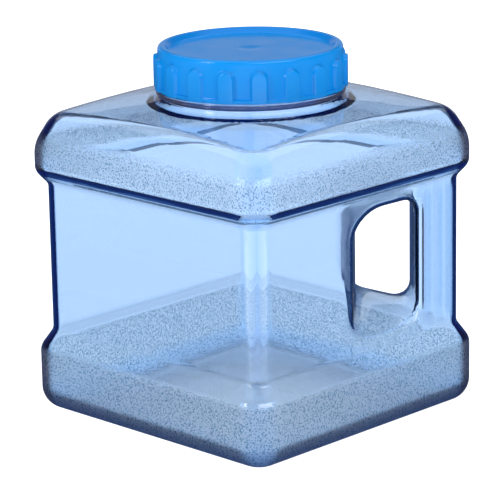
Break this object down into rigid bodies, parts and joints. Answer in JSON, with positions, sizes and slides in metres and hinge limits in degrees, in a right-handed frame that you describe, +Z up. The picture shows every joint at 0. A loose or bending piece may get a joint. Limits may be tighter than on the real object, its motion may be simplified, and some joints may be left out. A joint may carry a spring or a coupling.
{
  "type": "water jug",
  "caption": "Square transparent water jug with an open handle through one corner, a wide threaded neck and a ribbed screw cap with a sealing ring.",
  "frame": {"origin": "middle of the underside, on the surface that the jug stands on", "axes": "+Z up through the neck; the four flat sides face +X, -X, +Y and -Y; the handle is at the +X +Y corner"},
  "size_m": [0.205, 0.205, 0.2355],
  "materials": {
    "clear_blue_plastic": "clear light blue polycarbonate, glossy, with a pebbled grain on the two wide bands",
    "blue_cap_plastic": "opaque azure plastic, satin to gloss",
    "seal_rubber": "translucent white silicone, matte"
  },
  "bodies": {
    "jug": {"jug_base": "clear_blue_plastic", "jug_waist": "clear_blue_plastic", "jug_shoulder": "clear_blue_plastic", "jug_neck": "clear_blue_plastic"},
    "seal": {"sealing_ring": "seal_rubber"},
    "cap": {"screw_cap": "blue_cap_plastic"}
  },
  "joints": [
    {"name": "cap_lift", "type": "slide", "parent": "jug", "child": "seal", "axis": [0, 0, 1], "range_m": [0, 0.0241]},
    {"name": "cap_turn", "type": "hinge", "parent": "seal", "child": "cap", "pos_m": [0, 0, 0.22], "axis": [0, 0, 1], "range_deg": [0, 720]}
  ],
  "couplings": [
    {"joint": "cap_lift", "follows": "cap_turn", "m_per_rad": 0.0019099}
  ]
}
